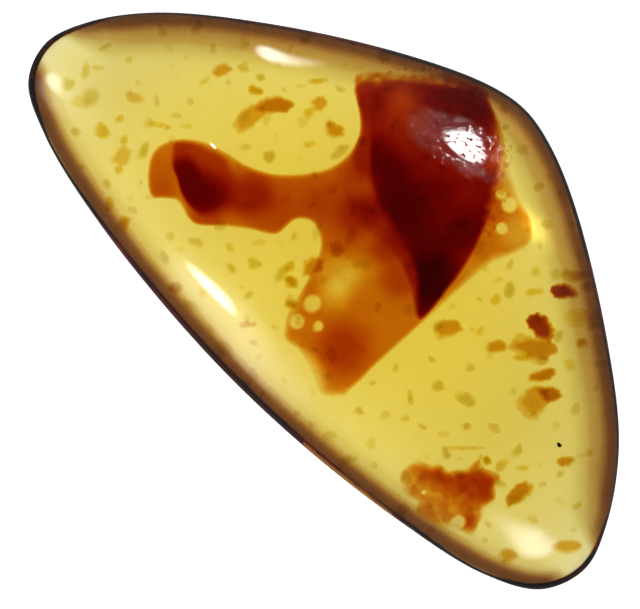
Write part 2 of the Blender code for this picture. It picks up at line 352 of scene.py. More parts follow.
def rays_inward(outline):
    """The lines from the outline to the peak: shares of the way back, and the swell there on each line."""
    reach = np.linspace(1, 0, RAY_STEPS)
    along = PEAK + reach[:, None, None] * (outline - PEAK)
    swells = SWELL.bulge(along[..., 0], along[..., 1]) / SWELL.peak
    return reach, np.maximum.accumulate((swells - swells[0]) / (1 - swells[0]), axis=0)


def ring_levels():
    """The swell at each ring of the stone's faces, from just inside the rim to near the peak."""
    turns = np.linspace(0, math.pi / 2, EDGE_RINGS + 1)[1:]
    radii = np.linspace(math.sqrt(1 - EDGE_REACH), 0, INNER_RINGS + 1)[1:-1]
    return [*(EDGE_REACH * (1 - np.cos(turns))), *(1 - radii**2)]


def ring_faces(outer, inner, count, side):
    """The faces between two rings of points, each given by its first point."""
    following = [(i, (i + 1) % count) for i in range(count)]
    quads = [(outer + i, outer + j, inner + j, inner + i) for i, j in following]
    return quads if side > 0 else [quad[::-1] for quad in quads]


def cap_faces(ring, tip, count, side):
    """The faces between a ring of points and one point."""
    tips = [(ring + i, ring + (i + 1) % count, tip) for i in range(count)]
    return tips if side > 0 else [face[::-1] for face in tips]


def clear_stone(look):
    """The clear stone, in one piece, with how much painted rim shade it has and how worn it is at each
    point.
    """
    outline = stone_outline(OUTLINE_STEPS)
    count = len(outline)
    reach, swells = rays_inward(outline)
    verts = [(x, y, RIM) for x, y in outline]
    rim_shades = [painted_rim_shade(outline, np.zeros(count), 1)]
    faces = []
    for side in (1, -1):
        outer = 0
        for level in ring_levels():
            shares = np.array([np.interp(level, ray, reach) for ray in swells.T])
            places = PEAK + shares[:, None] * (outline - PEAK)
            rise = np.full(count, face_height(level, side))
            if side > 0:
                rise += polish_waves(*places.T) * min(1.0, level / EDGE_REACH) * (1 - level)
            inner = len(verts)
            verts += [(x, y, RIM + side * z) for (x, y), z in zip(places, rise)]
            rim_shades.append(painted_rim_shade(outline, edge_distance(outline, places), side))
            faces += ring_faces(outer, inner, count, side)
            outer = inner
        verts.append((*PEAK, RIM + side * float(face_height(1.0, side))))
        rim_shades.append(np.zeros(1))
        faces += cap_faces(outer, len(verts) - 1, count, side)
    halves = ("amber_front", "amber_back")
    made = add_piece("amber_clear", verts, faces, look, replaces=halves, slot="amber")
    places, heights = np.array(verts)[:, :2], np.array(verts)[:, 2]
    worn = oval_share(places, WORN_SPOT, WORN_TURN, WORN_POWER) * (heights > RIM)
    # Painted shade: each point's share of the brown that darkens the rim, which the material reads.
    attribute(made, "painted_rim_shade", np.concatenate(rim_shades))
    attribute(made, "worn", worn)


def sheet_mesh(loop, pitch, thickness, side, level):
    """Points and faces of a solid with a flat side at a level and thickness(points, distances) beyond it.

    It ends in a feather edge, so that it fades out where it is thin.
    """
    points = [Vector(p) for p in [*loop, *grid_in(loop, pitch, GRID_MARGIN * pitch)]]
    flat, _, faces, *_ = delaunay_2d_cdt(points, [], [list(range(len(loop)))], 1, 1e-6)
    flat = np.array([tuple(p) for p in flat])
    thick = np.maximum(thickness(flat, edge_distance(loop, flat)), FEATHER)
    count = len(flat)
    far = np.column_stack([flat, level + side * thick])
    near = np.column_stack([flat, np.full(count, level)])
    shell = [*faces, *([i + count for i in face[::-1]] for face in faces)]
    ends = dict.fromkeys((a, b) for face in faces for a, b in zip(face, [*face[1:], face[0]]))
    walls = [(b, a, a + count, b + count) for a, b in ends if (b, a) not in ends]
    return np.concatenate([far, near]), [tuple(f) for f in shell] + walls


def heaps(points, bumps):
    """The sum of round, flat-topped heaps, each given by x, y, radius and height."""
    total = np.zeros(len(points))
    for x, y, radius, rise in bumps:
        reach = np.hypot(points[:, 0] - x, points[:, 1] - y) / radius
        total += rise * np.exp(-(reach**HEAP_POWER))
    return total


def node_loop(node, outline, steps):
    """The outline, smoothed and fitted to the box of the CAD node that it belongs to."""
    low, high = (np.array(corner[:2]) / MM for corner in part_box(node))
    return fitted(smooth_loop(outline, steps), low, high)


# --- what is sealed in the stone ---

# Each heap: x, y, radius and how much thicker the resin is there.
FLOW_FILM = 0.36
FLOW_HEAPS = (
    (-6.7, -2.9, 1.1, 0.6), (-5.2, -2.9, 1.2, 0.15), (-4.7, -1.6, 1.5, 0.18), (-3.3, -0.2, 1.3, 0.25),
    (-3.6, 1.6, 0.9, 0.22), (-1.7, 0.3, 1.1, 0.5), (-1.6, -1.3, 0.9, 0.12), (-0.5, -1.1, 0.8, 0.08),
    (-0.2, -2.6, 1.1, -0.14), (0.3, -1.8, 0.8, -0.1), (0.4, -3.5, 0.9, -0.16), (-0.5, -2.4, 1.3, -0.08),
    (5.1, 5.5, 1.2, -0.08), (0.5, 0.2, 0.9, 0.45), (2.2, -0.5, 1.0, 0.3), (2.7, -5.1, 1.4, 0.36),
    (4.9, 5.4, 1.0, -0.1), (3.1, 5.3, 0.8, 0.12), (4.3, 2.2, 0.8, -0.08), (-11.2, -5.6, 1.0, 0.12),
    (-10.2, -6.0, 0.6, 0.15), (-7.5, -5.6, 1.0, 0.25),
)
# Inside the core's outline the resin has a sharp step up, with heaps of its own.
FLOW_CORE = (
    (-11.3, -4.6), (-11.8, -3.9), (-11.1, -3.1), (-10.2, -2.8), (-9.3, -2.5), (-8.2, -2.5), (-7.1, -2.5),
    (-6.0, -2.8), (-5.4, -3.6), (-6.1, -4.6), (-7.0, -5.3), (-8.0, -5.7), (-8.8, -5.7), (-9.6, -5.5),
    (-10.3, -5.1), (-10.9, -4.9),
)
FLOW_STEP = 0.4
FLOW_CORE_HEAPS = (
    (-11.1, -4.1, 0.7, 0.1), (-10.2, -4.6, 0.7, 1.6), (-9.4, -4.8, 0.85, 0.95), (-8.5, -4.5, 1.0, 0.85),
    (-7.5, -4.2, 1.2, 0.35), (-6.4, -3.6, 1.0, -0.3), (-6.9, -2.7, 0.8, -0.4), (-7.2, -5.4, 0.9, -0.15),
)
# Each bubble, a thin spot in the resin: x, y and radius.
FLOW_HOLES = (
    (-0.2, -4.6, 0.5), (-0.1, -5.8, 0.42), (0.9, -5.2, 0.3), (2.8, 6.3, 0.3), (3.5, 6.2, 0.45),
    (4.1, 5.0, 0.35),
)
# How wide the slope at the flow's edge is, and where it is wider: x, y, radius and by how much.
FLOW_SLOPE = 0.3
FLOW_SOFT = (
    (0.2, -5.4, 1.2, 0.6), (2.6, -7.0, 1.4, 1.2), (2.5, 7.2, 1.6, 1.0), (4.6, 3.4, 1.4, 0.35),
    (3.2, 0.6, 1.8, 0.3),
)
FLOW_CORE_SLOPE = 0.35
FLOW_CORE_SOFT = ((-6.2, -3.8, 1.9, 1.6),)
FLOW_SHARE = 0.75  # the most that the flow takes of the stone below the seam

MASS_FILM = 0.55
MASS_HEAPS = (
    (-6.8, 5.3, 0.8, -0.15), (-6.2, 6.3, 0.7, -0.25), (-5.3, 7.3, 0.7, -0.25), (-4.2, 8.3, 0.7, -0.25),
    (-5.6, 4.7, 1.0, 0.25), (-3.4, 0.9, 1.0, -0.4), (-2.4, 1.2, 0.9, -0.25),
)
MASS_CORE = (
    (-5.6, 4.7), (-4.8, 3.8), (-3.8, 2.8), (-2.9, 1.9), (-2.3, 1.5), (-1.6, 1.1), (-0.7, 0.8), (0.4, 0.6),
    (1.4, 0.5), (2.3, 0.2), (3.2, -0.5), (4.0, -1.4), (4.6, -2.2), (5.3, 0.5), (4.6, 4.2), (2.9, 7.8),
    (0.0, 10.0), (-1.8, 10.0), (-3.0, 8.9), (-4.3, 7.8), (-5.5, 6.6), (-6.1, 5.6),
)
MASS_STEP = 0.35
MASS_CORE_HEAPS = (
    (-2.4, 8.0, 1.6, 0.45), (-1.2, 8.9, 1.0, 0.35), (-2.9, 3.2, 1.2, 0.8), (-0.7, 2.2, 1.6, 1.05),
    (1.9, 1.7, 1.6, 0.7), (3.6, 0.3, 1.6, 1.6), (-2.8, 4.1, 0.7, -0.35), (2.9, 3.8, 1.2, 0.7),
    (2.2, 6.0, 1.0, 0.2), (0.5, 4.2, 1.0, 0.35), (1.2, 7.6, 0.8, -0.5), (0.7, 8.8, 0.6, -0.3),
    (-4.0, 5.6, 1.6, -0.35), (-4.7, 6.6, 1.2, -0.25),
)
MASS_SLOPE = 0.3
MASS_SOFT = ((-0.6, 0.2, 1.8, 1.0), (-3.4, 1.0, 1.3, 0.8), (0.9, 8.5, 1.0, 0.5), (2.6, 6.3, 1.0, 0.3))
MASS_CORE_SLOPE = 0.2  # how wide the slope at its core's edge is
MASS_CORE_SOFTER = 0.6  # and how much of its outer edge's width is added
MASS_SHARE = 0.7  # the most that the mass, or the crumb patch, takes of the stone above the seam
# The right and the upper edge of the mass, which are eaten away in small bites.
MASS_FRINGES = (
    ((1.2, 8.9), (2.4, 7.2), (3.4, 5.6), (4.0, 4.2), (3.6, 4.0), (2.8, 5.2), (1.7, 6.7), (0.7, 7.9)),
    ((-7.2, 5.6), (-5.6, 7.6), (-3.9, 9.0), (-2.2, 9.9), (-2.1, 9.4), (-3.7, 8.4), (-5.2, 7.1),
     (-6.6, 5.3)),
)
BITES = 70
BITE_RADII = (0.12, 0.3)
BITE_DEPTHS = (0.2, 1.0)
BITE_SHARE = 0.8  # the most that a bite takes of the mass's thickness

CRUMB_FILM = 0.2
CRUMB_HEAPS = (
    (10.8, -6.4, 0.8, 0.2), (11.7, -6.1, 0.9, 0.3), (12.7, -5.4, 0.9, 0.28), (13.5, -5.0, 0.9, 0.24),
    (14.1, -5.2, 0.8, 0.2), (13.2, -6.3, 0.9, 0.14), (14.4, -7.1, 0.45, 0.3),
)
CRUMB_HOLES = ((13.9, -7.5, 0.4), (11.4, -7.6, 0.14))
CRUMB_SLOPE = 0.55
GRAINS = 190
GRAIN_RADII = (0.12, 0.36)
GRAIN_HEIGHTS = (0.04, 0.2)
GRAIN_SLOPE = 0.15

# The large flakes, in the order of their nodes: how thick each is, and where its thick side lies, in
# degrees from +X.
FLAKE_CORES = (
    (0.8, 225), (0.85, 180), (0.28, 45), (0.34, 30), (0.42, 45), (0.2, 90), (0.24, 45), (0.22, 90),
    (0.3, 200), (0.17, 60), (0.17, 120), (0.26, 180), (0.19, 0), (0.36, 20), (0.19, 60), (0.2, 90),
    (0.24, 100), (0.09, 225), (0.11, 45), (0.26, 0),
)
FLAKE_FRINGE = 0.45  # how thick a flake's outer part is, as a share of its core
FLAKE_LEAN = 0.35  # how far its core lies towards its thick side
FLAKE_CORE_START, FLAKE_CORE_END = 0.15, 0.5  # how far in from its edge the core starts, and is full
FLAKE_SLOPE = 0.2
WEAR = 0.05  # how far the bays and points of a worn outline go in and out, as a share of its radius
WEAR_TURNS = (4, 6, 9, 13)  # how many bays of each size there are round it
WEAR_STRENGTHS = (0.4, 1.0)  # how strong each size is, at random
# The smaller ones: x, y, length, width, degrees turned and thickness.
SMALL_FLAKES = (
    (-11.7, 1.3, 0.5, 0.4, 45, 0.1), (-10.5, 1.0, 1.0, 0.6, 35, 0.22), (-8.4, 3.6, 1.2, 0.45, 45, 0.16),
    (-8.9, 2.8, 0.6, 0.3, 45, 0.06), (-7.5, 2.1, 0.7, 0.6, 40, 0.1), (-6.3, 1.0, 0.8, 0.45, 60, 0.08),
    (-12.9, -3.8, 1.3, 0.4, 35, 0.12), (-11.8, -2.9, 0.7, 0.35, 45, 0.06),
    (-18.1, -4.6, 1.0, 0.45, 135, 0.05), (-16.9, -5.9, 1.2, 0.8, 50, 0.05),
    (-15.1, -6.2, 1.0, 0.9, 45, 0.12), (-14.7, -5.2, 0.55, 0.5, 90, 0.1),
    (-13.8, -5.7, 0.6, 0.5, 80, 0.12), (-12.8, -7.1, 0.6, 0.45, 20, 0.12),
    (-12.0, -8.5, 0.8, 0.55, 135, 0.14), (-10.6, -8.8, 1.0, 0.8, 120, 0.2),
    (-6.2, -9.1, 0.8, 0.7, 45, 0.2), (-7.4, -7.7, 0.5, 0.3, 45, 0.06), (-5.5, -5.5, 0.7, 0.5, 0, 0.08),
    (-4.5, -4.5, 0.8, 0.35, 55, 0.07), (-4.9, -8.2, 0.6, 0.45, 45, 0.08),
    (-3.5, -6.8, 0.4, 0.25, 45, 0.06), (-2.5, -4.0, 0.7, 0.6, 90, 0.14), (-1.8, -4.8, 0.8, 0.75, 0, 0.28),
    (-1.0, -5.4, 0.8, 0.5, 50, 0.2), (-1.9, -7.9, 0.95, 0.5, 50, 0.2), (6.6, 2.1, 0.7, 0.5, 120, 0.08),
    (7.2, 0.4, 0.65, 0.5, 110, 0.09), (9.8, 1.0, 1.2, 0.5, 45, 0.16), (9.0, 1.8, 1.0, 0.4, 35, 0.12),
    (10.3, 4.4, 1.7, 1.1, 45, 0.07), (11.6, 3.8, 0.7, 0.6, 60, 0.22), (12.0, 2.4, 0.8, 0.6, 0, 0.07),
    (10.7, 1.5, 0.6, 0.35, 45, 0.06), (5.9, 2.9, 0.6, 0.4, 45, 0.05), (7.8, 3.9, 1.2, 0.45, 50, 0.1),
    (8.6, 5.9, 1.3, 0.8, 45, 0.12), (15.9, -0.6, 0.8, 0.25, 50, 0.06), (14.2, -3.1, 0.9, 0.35, 45, 0.09),
    (17.8, -2.6, 0.7, 0.45, 75, 0.08), (11.1, -4.5, 2.6, 0.3, 42, 0.1), (12.5, -4.2, 0.7, 0.5, 130, 0.3),
    (13.3, -3.7, 1.0, 0.6, 100, 0.08), (16.9, -3.0, 0.5, 0.35, 45, 0.05),
    (-1.4, -1.8, 0.95, 0.9, 0, 0.22),
)
FAINT_FLAKES = 230
FAINT_LENGTHS = (0.3, 0.7)
FAINT_LONGER = 0.7  # how much longer a few of them are
FAINT_WIDTHS = (0.45, 0.95)  # as a share of the length
FAINT_DEPTHS = (0.08, 0.26)
FAINT_LEAST_SWELL = 0.16  # none lies nearer to the rim than this swell
FAINT_SPACING = 5 / 7  # how far apart they are, as a share of their lengths
SEAM_CLEAR = 0.15  # how near to the seam a small flake comes
SURFACE_CLEAR = 0.3  # and to the surface
SMALL_SHARE = 0.6  # the most that it takes of the room it has
SMALL_HEIGHTS = (0.1, 0.7)  # how far it is from the seam, as a share of the room that it leaves
FLAKE_CORNERS = 9
CORNER_TURN = 0.25  # how far each corner strays along the outline, as a share of the way to the next
CORNER_DEPTH = 0.22  # and how far it goes in or out, as a share of the flake's size

# Where crumbs lie along the dark mass's edge, and how many.
CRUMB_STRETCHES = (
    (((-7.1, 5.5), (-5.5, 7.5), (-3.9, 8.9), (-2.3, 9.7)), 26),
    (((0.6, 8.8), (1.9, 7.4), (2.9, 5.8), (3.7, 4.2)), 44),
)
CRUMB_RADII = (0.08, 0.22)
CRUMB_STRAY = 0.2  # how far from the edge they stray
CRUMB_HEIGHTS = (0.3, 0.6)  # how high they lie, as a share of the stone above the rim
CRUMB_SPACING = 1.25  # how far apart they are, as a share of their radii
CRUMB_FLATNESS = 0.4
CRUMB_TRIES = 40
# A crumb or the speck: how its radii differ, how flat it is, and the waves on it.
LUMP_STRETCH = (0.75, 1.2)
LUMP_FLATNESS = 0.7
LUMP_WAVES = 2.5  # radians to each radius
LUMP_UNEVEN = 0.16

# The one opaque grain in the stone.
SPECK = (14.7, -0.9)
SPECK_RADIUS = 0.15
SPECK_STRETCH = (1.3, 0.8, 0.8)
SPECK_HEIGHT = 0.5  # as a share of the stone above the rim

EDGE_START = 0.15  # how far up its slope the edge of the flow or of the mass is, as a share of the slope
FLAKE_EDGE_START = 0.1
BUBBLE_FILM = 0.06  # what is left of the resin's thickness over a bubble
BUBBLE_WALL = (0.75, 1.15)  # where it starts to be thicker, and is at its full thickness, in radii
HEAP_POWER = 3  # how flat the top of a heap is
FEATHER = 0.012  # how thick a sheet is at its very edge
# How far apart a sheet's inner points are, and how near to its edge they come, as a share of that.
SHEET_PITCH, PATCH_PITCH, LARGE_PITCH, SMALL_PITCH = 0.13, 0.09, 0.11, 0.2
GRID_MARGIN = 0.4


def slope(distance, width, start=0.0):
    """A smooth rise from an edge, 0 to 1 over a width: the edge itself is some way up it."""
    return smoothstep(distance / width + start)


def core_thickness(points, core, step, thicker, width):
    """A step inside an outline, with heaps that end at that step."""
    core = smooth_loop(core, 6)
    within = inside(core, points) * slope(edge_distance(core, points), width)
    return within * (step + heaps(points, thicker))


def pierced(thick, points, holes):
    """The thickness, with bubbles in it."""
    for x, y, radius in holes:
        reach = np.hypot(points[:, 0] - x, points[:, 1] - y) / radius
        thick = thick * (BUBBLE_FILM + (1 - BUBBLE_FILM) * fade(reach, *BUBBLE_WALL))
    return thick


def grains(points, lumps):
    """The highest of round lumps, each given by x, y, radius and height, and 0 between them."""
    highest = np.zeros(len(points))
    for x, y, radius, rise in lumps:
        reach = np.hypot(points[:, 0] - x, points[:, 1] - y) / radius
        highest = np.maximum(highest, rise * np.sqrt(np.clip(1 - reach**2, 0, 1)))
    return highest


def scattered(loop, count, radii, rises, seed):
    """Lumps at random in a loop: x, y, radius and height."""
    rng = np.random.default_rng(seed)
    low, high = loop.min(axis=0), loop.max(axis=0)
    places = rng.uniform(low, high, (4 * count, 2))
    places = places[inside(loop, places)][:count]
    least, most = np.transpose([radii, rises])
    return np.column_stack([places, least + rng.random((len(places), 2)) * (most - least)])


def flow_thickness(points, distance):
    """The orange flow. Its core is the dark blob at the end of its arm."""
    core_slope = FLOW_CORE_SLOPE + heaps(points, FLOW_CORE_SOFT)
    thick = FLOW_FILM + heaps(points, FLOW_HEAPS)
    thick += core_thickness(points, FLOW_CORE, FLOW_STEP, FLOW_CORE_HEAPS, core_slope)
    thick *= slope(distance, FLOW_SLOPE + heaps(points, FLOW_SOFT), EDGE_START)
    return np.minimum(pierced(thick, points, FLOW_HOLES), FLOW_SHARE * room(points, -1))


def mass_thickness(points, distance):
    """The dark mass, with its fringes eaten away."""
    width = MASS_SLOPE + heaps(points, MASS_SOFT)
    core_slope = MASS_CORE_SLOPE + MASS_CORE_SOFTER * width
    thick = MASS_FILM + heaps(points, MASS_HEAPS)
    thick += core_thickness(points, MASS_CORE, MASS_STEP, MASS_CORE_HEAPS, core_slope)
    for seed, fringe in enumerate(MASS_FRINGES):
        bites = scattered(np.array(fringe), BITES, BITE_RADII, BITE_DEPTHS, seed)
        thick *= 1 - BITE_SHARE * np.minimum(grains(points, bites), 1)
    return np.minimum(thick * slope(distance, width, EDGE_START), MASS_SHARE * room(points, 1))


def patch_thickness(points, distance):
    """The crumb patch: grains of resin packed together."""
    lumps = scattered(smooth_loop(CRUMB_OUTLINE, 6), GRAINS, GRAIN_RADII, GRAIN_HEIGHTS, seed=5)
    thick = (CRUMB_FILM + heaps(points, CRUMB_HEAPS)) * slope(distance, CRUMB_SLOPE)
    thick += grains(points, lumps) * slope(distance, GRAIN_SLOPE)
    return np.minimum(pierced(thick, points, CRUMB_HOLES), MASS_SHARE * room(points, 1))


def join(meshes):
    """One list of points and one of faces from several."""
    verts, faces = [], []
    for points, shell in meshes:
        faces += [tuple(i + len(verts) for i in face) for face in shell]
        verts += list(points)
    return verts, faces


def lens(loop, depth, side, level, thick_side, pitch):
    """A flake: thin round its edge, with a thicker core that lies towards one side."""
    middle = loop.mean(axis=0)
    towards = turned(thick_side)[0]
    reach = abs((loop - middle) @ towards).max()

    def thickness(points, distance):
        share = distance / distance.max() + FLAKE_LEAN * (points - middle) @ towards / reach
        core = FLAKE_FRINGE + (1 - FLAKE_FRINGE) * fade(share, FLAKE_CORE_START, FLAKE_CORE_END)
        return depth * core * slope(distance, FLAKE_SLOPE, FLAKE_EDGE_START)

    return sheet_mesh(loop, pitch, thickness, side, level)


def ragged(loop, rng):
    """The loop with uneven bays and points round it, in the same box."""
    middle = loop.mean(axis=0)
    angles = np.arctan2(*(loop - middle).T)
    waves = np.zeros(len(loop))
    for turns in WEAR_TURNS:
        waves += rng.uniform(*WEAR_STRENGTHS) * np.sin(turns * angles + rng.uniform(0, math.tau))
    uneven = middle + (loop - middle) * (1 + WEAR * waves)[:, None]
    return fitted(uneven, loop.min(axis=0), loop.max(axis=0))


def flat_side(node, level):
    """The outline of a CAD solid's flat side, which lies at a level: its corners, in order."""
    solid = np.array([v.co for v in frame["nodes"][node].data.vertices]) / MM
    ring = solid[np.abs(solid[:, 2] - level) < 0.01][:, :2]
    ring = np.unique(np.round(ring, 3), axis=0)
    x, y = (ring - ring.mean(axis=0)).T
    return ring[np.argsort(np.arctan2(y, x))]


def cad_flakes(nodes, seed):
    """The large flakes, each in the place of its CAD solid."""
    rng = np.random.default_rng(seed)
    meshes = []
    for node, (depth, thick_side) in zip(nodes, FLAKE_CORES):
        low, high = (corner.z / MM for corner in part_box(node))
        side = 1 if low > RIM else -1
        level = low if side > 0 else high
        loop = ragged(smooth_loop(flat_side(node, level), 8), rng)
        meshes.append(lens(loop, depth, side, level, thick_side, LARGE_PITCH))
    return join(meshes)


def flake_loop(x, y, length, width, turn, rng):
    """A ragged oval outline, turned by some degrees."""
    strays = rng.uniform(-CORNER_TURN, CORNER_TURN, FLAKE_CORNERS)
    angles = (np.arange(FLAKE_CORNERS) + strays) * math.tau / FLAKE_CORNERS
    radii = 1 + rng.uniform(-CORNER_DEPTH, CORNER_DEPTH, FLAKE_CORNERS)
    oval = np.column_stack([np.cos(angles) * length, np.sin(angles) * width]) * radii[:, None] / 2
    return smooth_loop(oval @ turned(turn) + (x, y), 3)


def small_flakes(flakes, seed):
    """Flakes at many depths, on both sides of the seam."""
    rng = np.random.default_rng(seed)
    meshes = []
    for number, (x, y, length, width, turn, depth) in enumerate(flakes):
        side = 1 if number % 2 else -1
        space = room_at(x, y, side) - SURFACE_CLEAR
        depth = min(depth, SMALL_SHARE * space)
        height = rng.uniform(*SMALL_HEIGHTS) * (space - depth - SEAM_CLEAR)
        level = RIM + side * (SEAM_CLEAR + height)
        loop = flake_loop(x, y, length, width, turn, rng)
        meshes.append(lens(loop, depth, side, level, rng.uniform(0, 360), SMALL_PITCH))
    return join(meshes)


def faint_flakes(count, seed):
    """Random places and sizes for the faint flakes: none overlaps another or leaves the stone."""
    rng = np.random.default_rng(seed)
    outline = stone_outline(4)
    low, high = outline.min(axis=0), outline.max(axis=0)
    placed = []
    while len(placed) < count:
        place = rng.uniform(low, high)
        length = rng.uniform(*FAINT_LENGTHS) + FAINT_LONGER * rng.random() ** 3
        if float(SWELL(*place)) < FAINT_LEAST_SWELL or not inside(outline, place[None])[0]:
            continue
        if any(math.dist(place, other[:2]) < FAINT_SPACING * (length + other[2]) for other in placed):
            continue
        width = length * rng.uniform(*FAINT_WIDTHS)
        placed.append((*place, length, width, rng.uniform(0, 180), rng.uniform(*FAINT_DEPTHS)))
    return placed


def lump(radius, rng, subdivisions=2):
    """A ragged pebble shape round the origin: points and faces."""
    made = bmesh.new()
    bmesh.ops.create_icosphere(made, subdivisions=subdivisions, radius=1.0)
    stretch = rng.uniform(*LUMP_STRETCH, 3) * (radius, radius, LUMP_FLATNESS * radius)
    waves = rng.uniform(-LUMP_WAVES, LUMP_WAVES, (3, 3))
    points = np.array([v.co for v in made.verts])
    swollen = 1 + LUMP_UNEVEN * np.sin(points @ waves).sum(axis=1, keepdims=True)
    shell = [tuple(v.index for v in face.verts) for face in made.faces]
    made.free()
    return points * swollen * stretch, shell


def near_line(line, rng):
    """A random place near a line through some points."""
    share = rng.uniform(0, len(line) - 1.001)
    start = int(share)
    run = line[start + 1] - line[start]
    out = np.array([run[1], -run[0]]) / np.linalg.norm(run)
    return line[start] + (share - start) * run + out * rng.normal(0.0, CRUMB_STRAY)


def edge_crumbs(stretches, seed):
    """Crumbs strewn along stretches of the dark mass's edge: each stretch is its points and how many."""
    rng = np.random.default_rng(seed)
    placed, meshes = [], []
    for line, count in stretches:
        line = np.array(line)
        wanted = len(placed) + count
        for _ in range(CRUMB_TRIES * count):
            x, y = near_line(line, rng)
            radius = rng.uniform(*CRUMB_RADII)
            if any(math.hypot(x - a, y - b) < CRUMB_SPACING * (radius + r) for a, b, r in placed):
                continue
            placed.append((x, y, radius))
            z = RIM + rng.uniform(*CRUMB_HEIGHTS) * room_at(x, y, 1)
            points, shell = lump(radius, rng)
            meshes.append((points * (1, 1, CRUMB_FLATNESS) + (x, y, z), shell))
            if len(placed) == wanted:
                break
    return join(meshes)


def speck():
    """The one opaque grain in the stone."""
    points, shell = lump(SPECK_RADIUS, np.random.default_rng(3), subdivisions=3)
    return points * SPECK_STRETCH + (*SPECK, RIM + SPECK_HEIGHT * room_at(*SPECK, 1)), shell


# --- materials ---


def new_material(name):
    """A material, its node tree and its shader."""
    made = bpy.data.materials.new(name)
    made.use_nodes = True
    return made, made.node_tree, made.node_tree.nodes["Principled BSDF"]


def noise(tree, scale, detail=4.0, roughness=0.55, distortion=0.0):
    """Noise in the piece's own space: `scale` of its waves to a metre."""
    where = tree.nodes.new("ShaderNodeTexCoord")
    made = tree.nodes.new("ShaderNodeTexNoise")
    made.inputs["Scale"].default_value = scale
    made.inputs["Detail"].default_value = detail
    made.inputs["Roughness"].default_value = roughness
    made.inputs["Distortion"].default_value = distortion
    tree.links.new(where.outputs["Object"], made.inputs["Vector"])
    return made.outputs["Fac"]


def ramp(tree, value, *stops):
    """A value turned into a colour by stops, each a place and its colour."""
    made = tree.nodes.new("ShaderNodeValToRGB")
    band = made.color_ramp
    while len(band.elements) < len(stops):
        band.elements.new(1.0)
    for element, (place, color) in zip(band.elements, stops):
        element.position = place
        element.color = (*color, 1.0)
    tree.links.new(value, made.inputs["Fac"])
    return made.outputs["Color"]


def span(tree, value, low, high, within=(0.0, 1.0), how="LINEAR"):
    """The value, which goes from one number to another, mapped to low to high."""
    made = tree.nodes.new("ShaderNodeMapRange")
    made.interpolation_type = how
    made.inputs["From Min"].default_value, made.inputs["From Max"].default_value = within
    made.inputs["To Min"].default_value = low
    made.inputs["To Max"].default_value = high
    tree.links.new(value, made.inputs["Value"])
    return made.outputs["Result"]


def combined(tree, one, other, how="MULTIPLY"):
    """Two values or colours multiplied, or added up."""
    made = tree.nodes.new("ShaderNodeVectorMath")
    made.operation = how
    tree.links.new(one, made.inputs[0])
    tree.links.new(other, made.inputs[1])
    return made.outputs["Vector"]


def carried(tree, name):
    """The numbers that the piece's points carry under a name."""
    made = tree.nodes.new("ShaderNodeAttribute")
    made.attribute_name = name
    return made.outputs["Fac"]


def dim_mirrored(tree, share):
    """1, or a share where a ray comes from the stone's polish."""
    rays = tree.nodes.new("ShaderNodeLightPath")
    return span(tree, rays.outputs["Is Reflection Ray"], 1.0, share)


def bump(tree, height):
    """The slopes of a surface whose height is given in millimetres."""
    made = tree.nodes.new("ShaderNodeBump")
    made.inputs["Distance"].default_value = MM
    tree.links.new(height, made.inputs["Height"])
    return made.outputs["Normal"]


def absorbing(tree, density, color):
    """Over each metre in the piece, light falls to exp(-density * (1 - color)) of itself."""
    volume = tree.nodes.new("ShaderNodeVolumeAbsorption")
    volume.inputs["Density"].default_value = density
    volume.inputs["Color"].default_value = (*color, 1.0)
    tree.links.new(volume.outputs["Volume"], tree.nodes["Material Output"].inputs["Volume"])


WHITE = (1.0, 1.0, 1.0)
# The colour of the painted rim shade, from where it is faintest to where it is strongest.
RIM_SHADE_COLORS = (
    (0.0, WHITE), (0.07, (0.69, 0.62, 0.40)), (0.22, (0.38, 0.21, 0.07)), (0.45, (0.18, 0.055, 0.013)),
    (0.6, (0.09, 0.018, 0.005)), (0.75, (0.045, 0.008, 0.003)), (1.0, (0.02, 0.003, 0.001)),
)
SCRATCH_DEPTH = 0.0006
PIT_DEPTH = 0.016
AMBER_IOR = 1.54
SEALED_IOR = 1.005  # from the amber into the resin that it holds
# What each kind of amber absorbs: the density and the colour that absorbing() is given.
CLEAR = (350.0, (0.920, 0.828, 0.0))
ORANGE = (12000.0, (0.9167, 0.6667, 0.0))
OCHRE = (20000.0, (0.92, 0.82, 0.0))
FLAKE = (14000.0, (0.907, 0.729, 0.0))
FAINT = (6000.0, (0.80, 0.74, 0.0))


def clear_amber():
    """Clear and yellow, with painted shade round the rim, brown and darkest at the edge, and a polish worn
    in fine scratches.
    """
    made, tree, shader = new_material("clear_amber")
    clouds = noise(tree, scale=180, detail=3)
    tint = ramp(tree, clouds, (0.3, (0.97, 0.95, 0.90)), (0.7, WHITE))
    patches = span(tree, noise(tree, scale=700, detail=3), 0.78, 1.15)
    # Painted shade: the base colour turns brown round the rim, so that the rim looks dark.
    rim_shade_color = ramp(tree, combined(tree, carried(tree, "painted_rim_shade"), patches), *RIM_SHADE_COLORS)
    tree.links.new(combined(tree, tint, rim_shade_color), shader.inputs["Base Color"])
    scratches = noise(tree, scale=2600, detail=6, roughness=0.7, distortion=0.6)
    tree.links.new(span(tree, scratches, 0.0, 0.05), shader.inputs["Roughness"])
    sparse = span(tree, noise(tree, scale=5200, detail=1.5), 0.0, 1.0, within=(0.55, 0.83))
    pits = combined(tree, sparse, span(tree, carried(tree, "worn"), 0.0, PIT_DEPTH))
    height = combined(tree, span(tree, scratches, 0.0, SCRATCH_DEPTH), pits, how="ADD")
    tree.links.new(bump(tree, height), shader.inputs["Normal"])
    shader.inputs["IOR"].default_value = AMBER_IOR
    shader.inputs["Transmission Weight"].default_value = 1.0
    absorbing(tree, *CLEAR)
    return made


